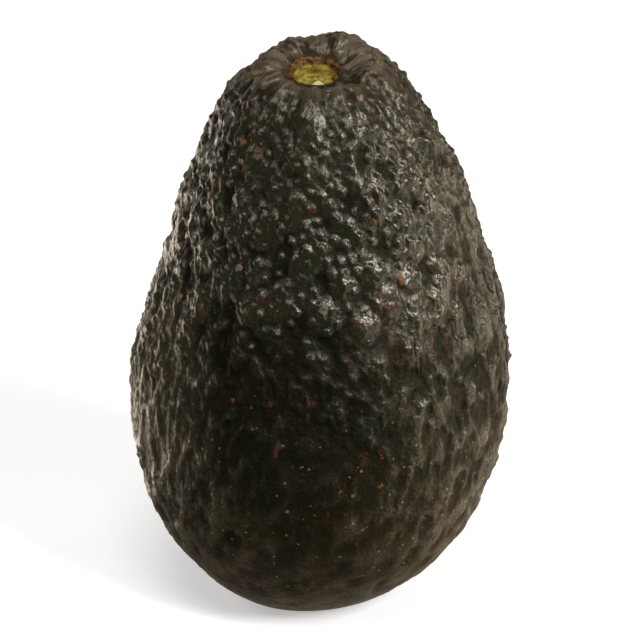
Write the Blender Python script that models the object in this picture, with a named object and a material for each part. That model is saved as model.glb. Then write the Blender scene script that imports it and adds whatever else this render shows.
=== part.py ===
"""A ripe, dark, pebble-skinned avocado, picked, with its stem button gone, standing on its blossom end.

The fruit is one solid. Units are metres and +Z is up. The origin is the centre of the small flat spot that the
fruit stands on, and its neck leans towards -Y, so that the stem scar on top faces up and to the front.

The skin is a geodesic sphere laid over the fruit. Each point of the coarse sphere is the top of one pebble, and
the points that the second subdivision adds are the pebbles' flanks and the valleys between them.
"""

import math
import random

import bmesh
import bpy
import numpy as np

MM = 0.001

# Body: (radius, height) in millimetres up the fruit's straight axis, from the blossom end to the stem scar
PROFILE_MM = (
    (0.0, -0.9),
    (11.0, 0.3),
    (20.9, 6.7),
    (29.2, 17.2),
    (34.1, 32.0),
    (34.4, 48.5),
    (30.5, 64.5),
    (25.5, 80.5),
    (20.3, 93.5),
    (15.2, 102.0),
    (8.0, 107.5),
    (5.0, 106.1),
    (0.0, 105.2),
)
PROFILE_SAMPLES = 400
FOOT_FADE_MM = 7.0  # height over which the pebbles start above the flat spot

# Neck: its bend towards -Y, and the fruit's slight sway to +X, a cubic in the share of its height
BEND_START_MM = 45.0
NECK_LENGTH_MM = 62.5
NECK_BEND = math.radians(15.0)
SWAY_MM = (2.6, 7.1, -7.6)

# Pebbles: how many along an edge of the icosahedron, and pairs of a height with the pebbles' rise and crowding there
PEBBLES_PER_EDGE = 8
PEBBLE_SCATTER = 0.027
PEBBLE_RISE_MM = ((0.0, 0.50), (15.0, 0.85), (35.0, 1.15), (60.0, 1.40), (88.0, 1.40), (100.0, 0.95), (107.0, 0.50))
CROWDING = ((0.0, 0.75), (35.0, 0.85), (60.0, 1.1), (85.0, 1.35), (107.0, 1.5))
RISE_SPREAD = 0.35
SIDE_FLANK = 0.42  # share of a pebble's rise left on its flanks, beside its top
RIDGE_FLANK = 0.62  # and above and below it
VALLEY_DEPTH = 0.80  # share of a full rise by which the valleys lie below the body's own surface
SEED = 7

# Broad unevenness: many faint random lumps, then named ones (azimuth, height in mm, reach, rise in mm)
FAINT_LUMPS = 90
FAINT_REACH = 0.17
FAINT_RISE_MM = 0.42
LUMPS = (
    (180.0, 69.0, 0.22, -0.9),
    (176.0, 78.5, 0.11, 0.7),
    (180.0, 101.0, 0.20, 1.1),
    (2.0, 63.0, 0.22, 0.7),
    (0.0, 97.0, 0.16, -0.5),
    (62.0, 106.0, 0.17, 0.8),
    (112.0, 106.0, 0.05, -0.9),
    (145.0, 104.0, 0.10, 0.5),
)

# Folds that run down from the stem scar: (number round the neck, phase, rise in mm)
FOLDS = ((5, 0.4, 0.30), (8, 2.1, 0.42), (13, 4.0, 0.34))
FOLD_START_MM = 76.0
FOLD_FULL_MM = 104.0

# Stem scar: a shallow round cup left by the stem button
SCAR_RADIUS_MM = 4.8
SCAR_FLOOR_RADIUS_MM = 4.3
SCAR_FLOOR_MM = 104.3
SCAR_DOME_MM = 0.35
SCAR_OFFSET_MM = 1.2  # how far the scar sits to the -X side of the neck's middle
SCAR_SIDES = 40
CUTTER_TOP_MM = 112.0

SKIN_COLOUR = (0.030, 0.028, 0.016, 1.0)
SCAR_COLOUR = (0.42, 0.34, 0.07, 1.0)


def clear_scene():
    for item in list(bpy.data.objects):
        bpy.data.objects.remove(item, do_unlink=True)


def collection(name):
    made = bpy.data.collections.new(name)
    bpy.context.scene.collection.children.link(made)
    return made


def finish(name, colour, roughness):
    material = bpy.data.materials.new(name)
    material.use_nodes = True
    shader = material.node_tree.nodes["Principled BSDF"]
    shader.inputs["Base Color"].default_value = colour
    shader.inputs["Roughness"].default_value = roughness
    shader.inputs["Metallic"].default_value = 0.0
    material.diffuse_color = colour
    return material


def smooth_step(value, low, high):
    share = np.clip((value - low) / (high - low), 0.0, 1.0)
    return share * share * (3.0 - 2.0 * share)


def spline(places, values, wanted):
    """The natural cubic spline through values at places, read at the places wanted."""
    gaps = np.diff(places)
    count = len(places)
    system = np.eye(count)
    right = np.zeros((count, values.shape[1]))
    slopes = np.diff(values, axis=0) / gaps[:, None]
    for i in range(1, count - 1):
        system[i, i - 1 : i + 2] = gaps[i - 1], 2.0 * (gaps[i - 1] + gaps[i]), gaps[i]
        right[i] = 6.0 * (slopes[i] - slopes[i - 1])
    curvature = np.linalg.solve(system, right)
    span = np.clip(np.searchsorted(places, wanted, side="right") - 1, 0, count - 2)
    gap = gaps[span][:, None]
    before = (wanted - places[span])[:, None]
    after = gap - before
    return (
        (curvature[span] * after**3 + curvature[span + 1] * before**3) / (6.0 * gap)
        + (values[span] / gap - curvature[span] * gap / 6.0) * after
        + (values[span + 1] / gap - curvature[span + 1] * gap / 6.0) * before
    )


def body_profile():
    """(share of the skin below each sample, weighted by its crowding, radii, heights), from blossom end to stem."""
    points = np.array(PROFILE_MM)
    chords = np.concatenate([[0.0], np.cumsum(np.linalg.norm(np.diff(points, axis=0), axis=1))])
    samples = spline(chords, points, np.linspace(0.0, chords[-1], PROFILE_SAMPLES))
    radii = np.maximum(samples[:, 0], 0.0)
    steps = np.linalg.norm(np.diff(samples, axis=0), axis=1)
    levels, crowding = np.array(CROWDING).T
    bands = steps * (radii[1:] + radii[:-1]) * np.interp(samples[1:, 1], levels, crowding)
    area = np.concatenate([[0.0], np.cumsum(bands)])
    return area / area[-1], radii, samples[:, 1]


def on_body(directions, profile):
    """The straight body's points, in millimetres, for directions on the unit sphere."""
    area, radii, heights = profile
    share = (1.0 + directions[:, 2]) / 2.0
    azimuth = np.arctan2(directions[:, 1], directions[:, 0])
    radius = np.interp(share, area, radii)
    return np.stack([radius * np.cos(azimuth), radius * np.sin(azimuth), np.interp(share, area, heights)], axis=1)


def leaned(points):
    """Bends the neck towards -Y round a circle, and sways the fruit to +X."""
    x, y, z = points.T
    turn_rate = NECK_BEND / NECK_LENGTH_MM
    along = np.maximum(z - BEND_START_MM, 0.0)
    turn = turn_rate * along
    bent_y = y * np.cos(turn) - (1.0 - np.cos(turn)) / turn_rate
    bent_z = np.minimum(z, BEND_START_MM) + np.sin(turn) / turn_rate + y * np.sin(turn)
    up = np.clip(z / PROFILE_MM[-1][1], 0.0, 1.05)
    sway = sum(part * up**power for power, part in enumerate(SWAY_MM, start=1))
    return np.stack([x + sway, bent_y, bent_z], axis=1)


def toward(azimuth, height, profile):
    """The sphere's direction for a place on the skin, from its azimuth in degrees and its height in millimetres."""
    area, _, heights = profile
    outside = np.argmax(heights) + 1
    z = 2.0 * np.interp(height, heights[:outside], area[:outside]) - 1.0
    ring = math.sqrt(1.0 - z * z)
    angle = math.radians(azimuth)
    return ring * math.cos(angle), ring * math.sin(angle), z


def unevenness(directions, profile):
    """Rise of the broad lumps over the body, in millimetres."""
    draw = random.Random(SEED)
    centres, reaches, rises = [], [], []
    for _ in range(FAINT_LUMPS):
        z = draw.uniform(-1.0, 1.0)
        angle = draw.uniform(0.0, 2.0 * math.pi)
        ring = math.sqrt(1.0 - z * z)
        centres.append((ring * math.cos(angle), ring * math.sin(angle), z))
        reaches.append(FAINT_REACH * draw.uniform(0.7, 1.3))
        rises.append(draw.uniform(-FAINT_RISE_MM, FAINT_RISE_MM))
    for azimuth, height, reach, rise in LUMPS:
        centres.append(toward(azimuth, height, profile))
        reaches.append(reach)
        rises.append(rise)
    apart = 2.0 - 2.0 * directions @ np.array(centres).T
    return np.exp(-apart / np.array(reaches) ** 2) @ np.array(rises)


def folds(directions, heights):
    """Rise of the folds that run down the neck from the stem scar, in millimetres."""
    azimuth = np.arctan2(directions[:, 1], directions[:, 0])
    waves = sum(rise * np.cos(count * azimuth + phase) for count, phase, rise in FOLDS)
    polar_fade = smooth_step(np.hypot(directions[:, 0], directions[:, 1]), 0.10, 0.30)
    return waves * smooth_step(heights, FOLD_START_MM, FOLD_FULL_MM) * polar_fade


def geodesic():
    """(sphere, number of pebbles): the first points, those of a coarse geodesic sphere scattered a little, are the
    tops of the pebbles. Subdividing it again adds the pebbles' flanks and the valleys between them."""
    sphere = bmesh.new()
    bmesh.ops.create_icosphere(sphere, subdivisions=1, radius=1.0)
    bmesh.ops.subdivide_edges(sphere, edges=sphere.edges[:], cuts=PEBBLES_PER_EDGE - 1, use_grid_fill=True)
    draw = random.Random(SEED)
    for vertex in sphere.verts:
        place = vertex.co.normalized()
        if abs(place.z) < 0.9999:
            for axis in range(3):
                place[axis] += draw.uniform(-PEBBLE_SCATTER, PEBBLE_SCATTER)
        vertex.co = place.normalized()
    pebble_count = len(sphere.verts)
    bmesh.ops.subdivide_edges(sphere, edges=sphere.edges[:], cuts=2, use_grid_fill=True)
    for vertex in sphere.verts:
        vertex.co.normalize()
    sphere.verts.index_update()
    return sphere, pebble_count


def pebble_shares(sphere, pebble_count):
    """Each point's share of a full rise: most on a pebble's top, some on its flanks and none in the valleys."""
    draw = random.Random(SEED + 1)
    sizes = [draw.uniform(1.0 - RISE_SPREAD, 1.0 + RISE_SPREAD) for _ in range(pebble_count)]
    shares = np.zeros(len(sphere.verts))
    for vertex in sphere.verts:
        if vertex.index < pebble_count:
            shares[vertex.index] = sizes[vertex.index]
            continue
        tops = [edge.other_vert(vertex) for edge in vertex.link_edges]
        tops = [top for top in tops if top.index < pebble_count]
        if tops:
            way = (vertex.co - tops[0].co).normalized()
            flank = SIDE_FLANK + (RIDGE_FLANK - SIDE_FLANK) * way.z**2
            shares[vertex.index] = flank * sizes[tops[0].index]
    return shares


def fruit_mesh(profile):
    sphere, pebble_count = geodesic()
    directions = np.array([vertex.co for vertex in sphere.verts])
    straight = on_body(directions, profile)
    heights = straight[:, 2]
    levels, full_rises = np.array(PEBBLE_RISE_MM).T
    full = np.interp(heights, levels, full_rises) * smooth_step(heights, 0.0, FOOT_FADE_MM)
    rises = full * (pebble_shares(sphere, pebble_count) - VALLEY_DEPTH)
    rises += unevenness(directions, profile) + folds(directions, heights)
    for vertex, point in zip(sphere.verts, leaned(straight) * MM):
        vertex.co = point
    sphere.normal_update()
    for vertex, rise in zip(sphere.verts, rises * MM):
        vertex.co += vertex.normal * float(rise)
        vertex.co.z = max(vertex.co.z, 0.0)
    mesh = bpy.data.meshes.new("avocado")
    sphere.to_mesh(mesh)
    sphere.free()
    return mesh


def scar_cutter(into):
    """A turned plug for the stem scar, with a floor that rises a little in the middle, leaned with the neck."""
    outline = (
        (0.0, CUTTER_TOP_MM),
        (SCAR_RADIUS_MM + 0.3, CUTTER_TOP_MM),
        (SCAR_RADIUS_MM, SCAR_FLOOR_MM + 1.0),
        (SCAR_FLOOR_RADIUS_MM, SCAR_FLOOR_MM),
        (SCAR_FLOOR_RADIUS_MM / 2.0, SCAR_FLOOR_MM + 0.7 * SCAR_DOME_MM),
        (0.0, SCAR_FLOOR_MM + SCAR_DOME_MM),
    )
    plug = bmesh.new()
    corners = [plug.verts.new((radius, 0.0, height)) for radius, height in outline]
    for upper, lower in zip(corners, corners[1:]):
        plug.edges.new((upper, lower))
    bmesh.ops.spin(
        plug,
        geom=plug.verts[:] + plug.edges[:],
        cent=(0.0, 0.0, 0.0),
        axis=(0.0, 0.0, 1.0),
        angle=2.0 * math.pi,
        steps=SCAR_SIDES,
        use_merge=True,
    )
    bmesh.ops.remove_doubles(plug, verts=plug.verts[:], dist=1e-4)
    points = np.array([vertex.co for vertex in plug.verts]) - (SCAR_OFFSET_MM, 0.0, 0.0)
    for vertex, point in zip(plug.verts, leaned(points) * MM):
        vertex.co = point
    bmesh.ops.recalc_face_normals(plug, faces=plug.faces[:])
    mesh = bpy.data.meshes.new("stem_scar_cutter")
    plug.to_mesh(mesh)
    plug.free()
    mesh.materials.append(finish("stem_scar", SCAR_COLOUR, 0.55))
    cutter = bpy.data.objects.new("stem_scar_cutter", mesh)
    cutter.hide_render = True
    cutter.display_type = "WIRE"
    into.objects.link(cutter)
    return cutter


def build_avocado():
    fruit_parts = collection("avocado_parts")
    cutters = collection("cutters")
    mesh = fruit_mesh(body_profile())
    mesh.materials.append(finish("skin", SKIN_COLOUR, 0.38))
    mesh.shade_smooth()
    fruit = bpy.data.objects.new("avocado", mesh)
    fruit_parts.objects.link(fruit)
    cut = fruit.modifiers.new("stem scar", "BOOLEAN")
    cut.operation = "DIFFERENCE"
    cut.object = scar_cutter(cutters)
    cut.material_mode = "TRANSFER"


clear_scene()
build_avocado()
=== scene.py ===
"""The look of a ripe, dark, pebble-skinned avocado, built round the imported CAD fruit.

The fruit stands on its blossom end. Its skin replaces the CAD node with a finer mesh of the same form, on the
same turned profile, lean and sway, with lumps and folds to match and the pebbles at life size. The stem scar
is a piece of its own, set into the skin's top.
Places on the fruit are an azimuth in degrees, from +X towards +Y, and a height in millimetres up its straight
axis, before the neck leans. The photograph looks along +Y, so its near side is azimuth -90.
"""

import math
import random

import bmesh
import bpy
import numpy as np
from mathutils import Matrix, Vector, kdtree, noise


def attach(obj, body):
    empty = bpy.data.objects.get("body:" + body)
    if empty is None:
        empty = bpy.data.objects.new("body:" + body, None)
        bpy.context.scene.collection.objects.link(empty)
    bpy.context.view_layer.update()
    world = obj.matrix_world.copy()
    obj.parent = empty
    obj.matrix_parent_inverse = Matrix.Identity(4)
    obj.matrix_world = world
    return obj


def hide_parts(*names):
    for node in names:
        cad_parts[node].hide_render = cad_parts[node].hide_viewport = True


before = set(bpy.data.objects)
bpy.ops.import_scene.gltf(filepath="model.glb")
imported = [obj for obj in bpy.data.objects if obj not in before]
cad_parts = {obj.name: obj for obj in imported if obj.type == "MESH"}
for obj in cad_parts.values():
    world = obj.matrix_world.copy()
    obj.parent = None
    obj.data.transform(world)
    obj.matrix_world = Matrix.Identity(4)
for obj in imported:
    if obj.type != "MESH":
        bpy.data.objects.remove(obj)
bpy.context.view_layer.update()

MM = 0.001

# Body, as in the CAD: (radius, height) in mm up the straight axis, from the blossom end to the stem scar
PROFILE_MM = (
    (0.0, -0.9),
    (11.0, 0.3),
    (20.9, 6.7),
    (29.2, 17.2),
    (34.1, 32.0),
    (34.4, 48.5),
    (30.5, 64.5),
    (25.5, 80.5),
    (20.3, 93.5),
    (15.2, 102.0),
    (8.0, 107.5),
    (5.0, 106.1),
    (0.0, 105.2),
)
PROFILE_SAMPLES = 400
BEND_START_MM = 45.0
NECK_LENGTH_MM = 62.5
NECK_BEND = math.radians(15.0)
SWAY_MM = (2.6, 7.1, -7.6)
SWAY_TOP = 1.05

# Broad unevenness: (azimuth, height, reach on the unit sphere, rise in mm). The faint lumps and the first six
# of the others are the CAD's own, and the rest are small dents and rises of the outline
SEED = 7
FAINT_LUMPS = 90
FAINT_REACH = 0.17
FAINT_SPREAD = (0.7, 1.3)
FAINT_RISE_MM = 0.42
LUMPS = (
    (180.0, 69.0, 0.22, -0.9),
    (176.0, 78.5, 0.11, 0.7),
    (180.0, 101.0, 0.20, 1.1),
    (2.0, 63.0, 0.22, 0.7),
    (0.0, 97.0, 0.16, -0.5),
    (62.0, 106.0, 0.17, 0.8),
    (148.0, 104.0, 0.07, -2.0),
    (121.0, 107.0, 0.04, -0.4),
    (104.5, 106.3, 0.03, 0.5),
    (92.0, 106.5, 0.03, -0.4),
    (64.0, 106.0, 0.05, -1.1),
    (40.0, 103.5, 0.06, -0.2),
    (32.0, 99.5, 0.05, 0.3),
    (19.0, 91.5, 0.08, -1.7),
    (163.0, 105.0, 0.05, -0.4),
    (180.0, 65.0, 0.12, -0.7),
    (178.0, 92.0, 0.05, -0.7),
    (-110.0, 105.0, 0.05, 0.6),
)
# Folds down the neck, about a quarter lower than the CAD's: (count, phase, rise in mm)
FOLDS = ((5, 0.4, 0.30), (8, 2.1, 0.32), (13, 4.0, 0.22))
FOLD_START_MM = 76.0
FOLD_FULL_MM = 104.0
POLE_FADE = (0.10, 0.30)

# Skin mesh: points along an edge of the icosahedron, and how they crowd where the relief is fine
MESH_PER_EDGE = 99
CROWDING = ((0.0, 0.18), (20.0, 0.28), (40.0, 0.65), (55.0, 1.3), (90.0, 1.6), (107.0, 1.3))

# Domes scattered over the skin, as pebbles and as broader knolls: how many are tried, their widths as shares
# of their spacing, their lengths as shares of their widths, and the power that rounds them. UPRIGHT is how
# much further apart they stand up the fruit than round it
PEBBLE_TRIES = 36000
PEBBLE_WIDTHS = (0.48, 0.70)
PEBBLE_LENGTHS = (1.0, 1.5)
PEBBLE_POWER = 1.25
KNOLL_TRIES = 8000
KNOLL_WIDTHS = (0.50, 0.75)
KNOLL_LENGTHS = (1.1, 1.9)
KNOLL_POWER = 1.3
NEAREST = 6
BUMP_TILT = 0.30
LOWEST_BUMP = 0.55
UPRIGHT = 1.2

# How the domes crowd up the fruit, and how the points of the CAD's skin do, which place its lumps
BUMP_CROWDING = ((0.0, 0.5), (45.0, 0.8), (65.0, 1.8), (107.0, 2.0))
FORM_CROWDING = ((0.0, 0.75), (35.0, 0.85), (60.0, 1.1), (85.0, 1.35), (107.0, 1.5))

# Spacing and rise up the fruit: (height, value), all in millimetres
SPACING_MM = ((0.0, 3.0), (30.0, 2.8), (50.0, 2.5), (75.0, 2.1), (90.0, 1.9), (107.0, 1.8))
PEBBLE_MM = (
    (0.0, 0.04),
    (15.0, 0.12),
    (30.0, 0.25),
    (45.0, 0.42),
    (60.0, 0.72),
    (78.0, 1.10),
    (92.0, 1.10),
    (101.0, 0.9),
    (107.0, 0.5),
)
KNOLL_SPACING_MM = ((0.0, 6.5), (60.0, 6.0), (107.0, 4.5))
KNOLL_MM = (
    (0.0, 0.05),
    (25.0, 0.20),
    (45.0, 0.35),
    (56.0, 0.60),
    (66.0, 1.0),
    (76.0, 0.85),
    (88.0, 0.40),
    (101.0, 0.20),
    (107.0, 0.0),
)
SWELL_MM = ((0.0, 0.10), (20.0, 0.24), (40.0, 0.36), (60.0, 0.45), (80.0, 0.50), (95.0, 0.35), (107.0, 0.15))
RIDGE_MM = (
    (0.0, 0.05),
    (15.0, 0.18),
    (30.0, 0.36),
    (45.0, 0.46),
    (60.0, 0.42),
    (75.0, 0.28),
    (103.0, 0.25),
    (107.0, 0.20),
)
NECK_FOLD_MM = ((80.0, 0.0), (92.0, 0.20), (103.0, 0.28), (107.0, 0.25))
CRINKLE_MM = ((0.0, 0.03), (30.0, 0.05), (50.0, 0.10), (107.0, 0.10))

# Mean level that is taken off the relief, how far it evens out between valleys and tops, and the share of the
# pebbles with cork on their tips, all up the fruit
LEVEL_MM = ((0.0, 0.03), (20.0, 0.15), (45.0, 0.50), (65.0, 0.62), (85.0, 0.42), (100.0, 0.26), (107.0, 0.1))
EVENNESS_MM = ((0.0, 1.0), (24.0, 0.8), (44.0, 0.5), (66.0, 0.3), (107.0, 0.2))
TIP_SHARE = ((0.0, 0.02), (40.0, 0.05), (60.0, 0.16), (80.0, 0.34), (107.0, 0.32))
TIP_COVER = 0.85
TIP_NEARNESS = (0.70, 1.0)
TIP_RAGGED = 0.35

# Layers of noise: (share, size in mm, stretch upright, shift of the pattern), single ones without the share
SWELL_LAYERS = ((1.0, 3.8, 1.5, 41.0), (0.5, 1.9, 1.4, 47.0))
RIDGE_LAYERS = ((0.6, 3.0, 2.6, 5.0), (0.4, 1.5, 2.8, 57.0))
NECK_FOLD_LAYERS = ((0.25, 2.6, 1.0, 83.0), (0.75, 1.3, 1.0, 19.0))
CRINKLE_LAYER = (1.1, 1.3, 11.0)
PATCH_LAYER = (9.0, 1.2, 71.0)
MARK_LAYER = (0.8, 1.0, 91.0)
PATCH_MEAN = 0.9
PATCH_CHANGE = 0.4

# Ridges: how far they wander, how sharp their crests are, and how much stronger they are on the flanks
WANDER_MM = 1.4
WANDER_LAYER = (2.5, 1.5, 31.0)
RIDGE_SHARPNESS = 2.6
RIDGE_POWER = 1.5
RIDGE_LEVEL = 0.35
FLANK_RIDGES = 1.3

# Folds at the neck, made on a narrow cylinder
NECK_FOLD_LEVEL = 0.4
NECK_ROLL_MM = 9.0
NECK_ROLL_STRETCH = 5.0

# Marks: how ragged their edges are, how domed, and the share of a pebble that they stand on
MARK_UNEVENNESS = 0.6
MARK_POWER = 0.7
MARK_FOOT = 0.3

# Peaks that stand further than this above the mean level keep only a share of the rest. The relief fades in
# over the lowest millimetres
PEAK_MM = 0.7
PEAK_SHARE = 0.35
SPOT_FADE_MM = 6.0

# Regions where the relief differs: (azimuth, reach in radians, heights in mm that it fades in over, heights
# that it fades out over, change). Those that go down to the blossom end fade in below it
BELOW_MM = (-3.0, -2.0)
SMOOTH_RIGHT = (-22.0, 0.5, (50.0, 62.0), (78.0, 90.0), -0.4)
SWOLLEN_RIGHT = (-22.0, 0.6, BELOW_MM, (42.0, 56.0), 0.9)
CALM_FRONT = (-94.0, 0.5, BELOW_MM, (56.0, 74.0), -0.65)
BOLD_MIDDLE = (-58.0, 0.4, (46.0, 56.0), (76.0, 86.0), 0.5)

# Colours of the marks on the skin
TAN = (0.16, 0.105, 0.060)
PALE = (0.10, 0.083, 0.060)
ORANGE = (0.13, 0.052, 0.019)
RED = (0.044, 0.012, 0.008)
RUSSET = (0.040, 0.016, 0.009)
OCHRE = (0.15, 0.125, 0.035)
HALO = (0.045, 0.028, 0.011)
TIP_COLOURS = (TAN, RUSSET, PALE, TAN, RUSSET, PALE, RED)
DOT_ORANGE = (0.14, 0.06, 0.02)
MARK_FRINGE = (0.006, 0.004, 0.002)
CRACK = (0.003, 0.002, 0.001)

# Colours of the rind between the marks. The valleys' colours are darker than the tops' as painted shade in
# the hollows between the pebbles
SHADED_VALLEY_GREEN = (0.0031, 0.0041, 0.0015)
SHADED_VALLEY_BROWN = (0.0062, 0.0054, 0.0027)
TOP_GREEN = (0.0066, 0.0082, 0.0030)
TOP_BROWN = (0.0130, 0.0110, 0.0054)
# Dust and painted sheen, lighter on the tops than in the valleys as painted shade
DUST_AND_SHEEN_LOW = (0.0165, 0.0122, 0.0042)
DUST_AND_SHEEN_HIGH = (0.0245, 0.0180, 0.0062)
COLLAR = (0.088, 0.066, 0.043)
GLOSS_TINT = (1.0, 0.935, 0.77)
# Specular level where a viewer can't vary it over the skin
MEAN_GLOSS = 0.35

# Zones of the rind: (axis, start and end in mm), and for some the share at each
# Where the rind takes the dust colours: mauve dust on the right flank and neck, painted sheen on both flanks
# and a painted reflection of the table at the foot
DUST_AND_SHEEN_MM = (
    ("X", 4.0, 28.0, 0.0, 0.6),
    ("Z", 78.0, 98.0, 0.0, 0.15),
    ("Z", 50.0, 16.0, 0.0, 0.6),
    ("X", -12.0, -32.0, 0.0, 0.5),
    ("Z", 99.0, 106.0, 0.0, 0.3),
)
LEFT_MIDDLE_MM = (("X", -16.0, -27.0), ("Z", 70.0, 60.0), ("Z", 30.0, 38.0))
# Painted sheen lightening the middle of the left flank
LEFT_MIDDLE_DUST_AND_SHEEN = 0.6
LEFT_MIDDLE_GLOSS = 0.38
BEYOND_MIDDLE_MM = (("Z", 61.0, 69.0), ("X", 11.0, 19.0), ("Z", 52.0, 44.0))
GLOSSY_PATCH_MM = (("X", 4.0, 9.0), ("X", 19.0, 14.0), ("Z", 57.0, 62.0), ("Z", 78.0, 70.0))
GLOSSY_PATCH_GLOSS = 0.16
CRACKED_MM = (("X", 4.0, 16.0), ("Z", 44.0, 60.0))
COLLAR_MM = ("Z", 102.5, 107.0)
DOTS_MM = ("Z", 60.0, 38.0)

# Marks that the photograph shows: (azimuth, height, half width, half length and rise in mm, colour)
MARKS = (
    (-69.0, 87.8, 0.65, 0.85, 0.50, ORANGE),
    (-78.5, 69.6, 0.85, 0.85, 0.50, RED),
    (-90.5, 72.7, 0.90, 1.40, 0.35, PALE),
    (-97.5, 106.5, 0.45, 0.45, 0.40, TAN),
    (-114.0, 105.9, 0.50, 0.50, 0.40, TAN),
    (-85.0, 102.8, 0.45, 0.45, 0.40, TAN),
    (-99.5, 98.3, 0.45, 0.55, 0.40, TAN),
    (-142.0, 98.3, 0.60, 0.80, 0.20, ORANGE),
    (-118.0, 52.7, 0.55, 0.70, 0.25, ORANGE),
    (-132.0, 37.8, 0.60, 0.80, 0.10, RUSSET),
    (-84.5, 51.9, 0.50, 1.60, 0.15, RUSSET),
    (-81.5, 61.4, 0.50, 1.40, 0.20, RED),
    (-64.5, 60.4, 0.60, 1.30, 0.20, RUSSET),
    (-59.5, 64.0, 0.60, 1.80, 0.20, RUSSET),
    (-61.0, 76.5, 0.45, 1.80, 0.20, ORANGE),
    (-64.0, 72.5, 0.45, 1.60, 0.20, RUSSET),
    (-49.5, 64.2, 0.80, 1.20, 0.25, RUSSET),
    (-51.5, 60.4, 0.50, 1.60, 0.20, RUSSET),
    (-64.5, 52.5, 0.50, 1.00, 0.15, RUSSET),
    (-46.0, 49.3, 0.45, 1.30, 0.15, RUSSET),
    (-53.5, 49.1, 0.60, 0.70, 0.20, RUSSET),
    (-37.0, 72.2, 0.90, 1.60, 0.10, RUSSET),
    (-25.5, 57.5, 0.35, 1.30, 0.10, RED),
    (-83.5, 36.0, 0.55, 0.55, 0.10, ORANGE),
    (-79.5, 35.2, 0.45, 0.40, 0.10, TAN),
    (-71.0, 36.4, 0.80, 0.60, 0.05, ORANGE),
    (-53.0, 31.9, 0.60, 0.60, 0.05, ORANGE),
    (-77.5, 42.6, 0.80, 0.60, 0.10, RED),
    (-71.5, 43.0, 0.90, 0.70, 0.10, RED),
    (-60.0, 39.9, 0.50, 0.80, 0.05, RUSSET),
    (-97.0, 45.4, 0.60, 0.50, 0.10, RUSSET),
    (-135.0, 43.6, 0.35, 0.35, 0.15, TAN),
    (-104.0, 26.3, 0.35, 0.40, 0.10, PALE),
    (-22.5, 107.6, 0.70, 0.60, 0.30, TAN),
    (-92.0, 33.0, 0.50, 0.40, 0.05, OCHRE),
    (-95.0, 41.0, 0.45, 0.45, 0.05, OCHRE),
    (-99.0, 31.5, 0.60, 0.45, 0.05, OCHRE),
)

# Stem scar, which lies above NECK_TOP_MM with all that fades round it
NECK_TOP_MM = 95.0
SCAR_RADIUS_MM = 4.5
SCAR_OFFSET_MM = 1.2
SCAR_FLOOR_RADIUS_MM = 3.8
SCAR_DEPTH_MM = 1.4
SCAR_DOME_MM = 0.35
SCAR_SUNK_MM = 3.2
SCAR_RIM_MM = 106.4
SCAR_SIDES = 144
SCAR_LIP_MM = 0.25
SCAR_CENTRE_MM = 0.15
SCAR_WALL_RINGS = 14
SCAR_FLOOR_RINGS = 44
SCAR_UNDER_MM = 0.6
SCAR_UNDER_SHARE = 0.98
SCAR_WOBBLE_MM = 0.30
SCAR_FIBRE_MM = 0.16
SCAR_TERRACE_MM = 0.10
SCAR_CREST_MM = 0.25
SCAR_RAGGED = 0.03
# Way across the scar, as (x, y), towards the near right side of its wall, which is darkened with painted
# shade
SHADED_SIDE_WAY = (0.5, -0.85)
# Where the skin round it is read for the height of its rim
RIM_OUTSIDE_MM = 0.35
RIM_LEVEL_MM = 106.0
RIM_REACH_MM = 2.5
RIM_POINTS = 6
# Distances in mm from its rim over which the relief, the brown ring, the levelled and the sunk skin fade
RELIEF_LIMITS_MM = (0.2, 2.4)
HALO_LIMITS_MM = (0.4, 2.2)
LEVELLED_LIMITS_MM = (0.3, 2.0)
SUNK_LIMITS_MM = (-0.5, 0.2)
LEVELLED_SHARE = 0.8
HALO_COVER = 0.7
HALO_FADE_MM = 3.0
# Brown stains on its floor, of which the first and the last are painted shade over its far edge and its right
# half: (x, y, half width, half depth, strength), and the pale flap at its near edge
SCAR_STAINS_AND_SHADE_MM = (
    (0.1, 1.9, 1.0, 0.5, 0.9),
    (-0.3, 0.1, 1.2, 0.3, 0.7),
    (3.1, -0.2, 0.35, 0.6, 0.9),
    (1.2, 0.9, 0.4, 0.4, 0.5),
    (2.6, 1.2, 1.6, 2.2, 0.45),
)
FLAP_MM = {"x": 0.6, "tip_y": -2.1, "foot_y": -4.3, "half_width": 2.0, "sunk": 0.12}
FLAP_FOOT = 1.15
FLAP_EDGE = 6.0

# Colours of the scar
FLOOR_OLIVE = (0.13, 0.085, 0.010)
FLOOR_YELLOW = (0.25, 0.20, 0.030)
FLOOR_FIBRE = (0.050, 0.035, 0.004)
# Brown of the stains, also used for the painted shade on the floor
STAIN_AND_SHADE = (0.060, 0.020, 0.002)
FLAP = (0.42, 0.38, 0.16)
CORK_DARK = (0.028, 0.012, 0.003)
CORK_LIGHT = (0.14, 0.070, 0.024)
# Painted shade on the wall's near right side and underneath
CORK_SHADED = (0.020, 0.012, 0.004)

# Camera, fitted to the photograph's outline: 700 mm away and 23 degrees above level
CAMERA_DISTANCE_MM = 700.0
CAMERA_AZIMUTH = math.radians(-90.0)
CAMERA_ELEVATION = math.radians(23.0)
CAMERA_AIM_MM = (1.72, 0.0, 54.6)
CAMERA_LENS = 214.0

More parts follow.
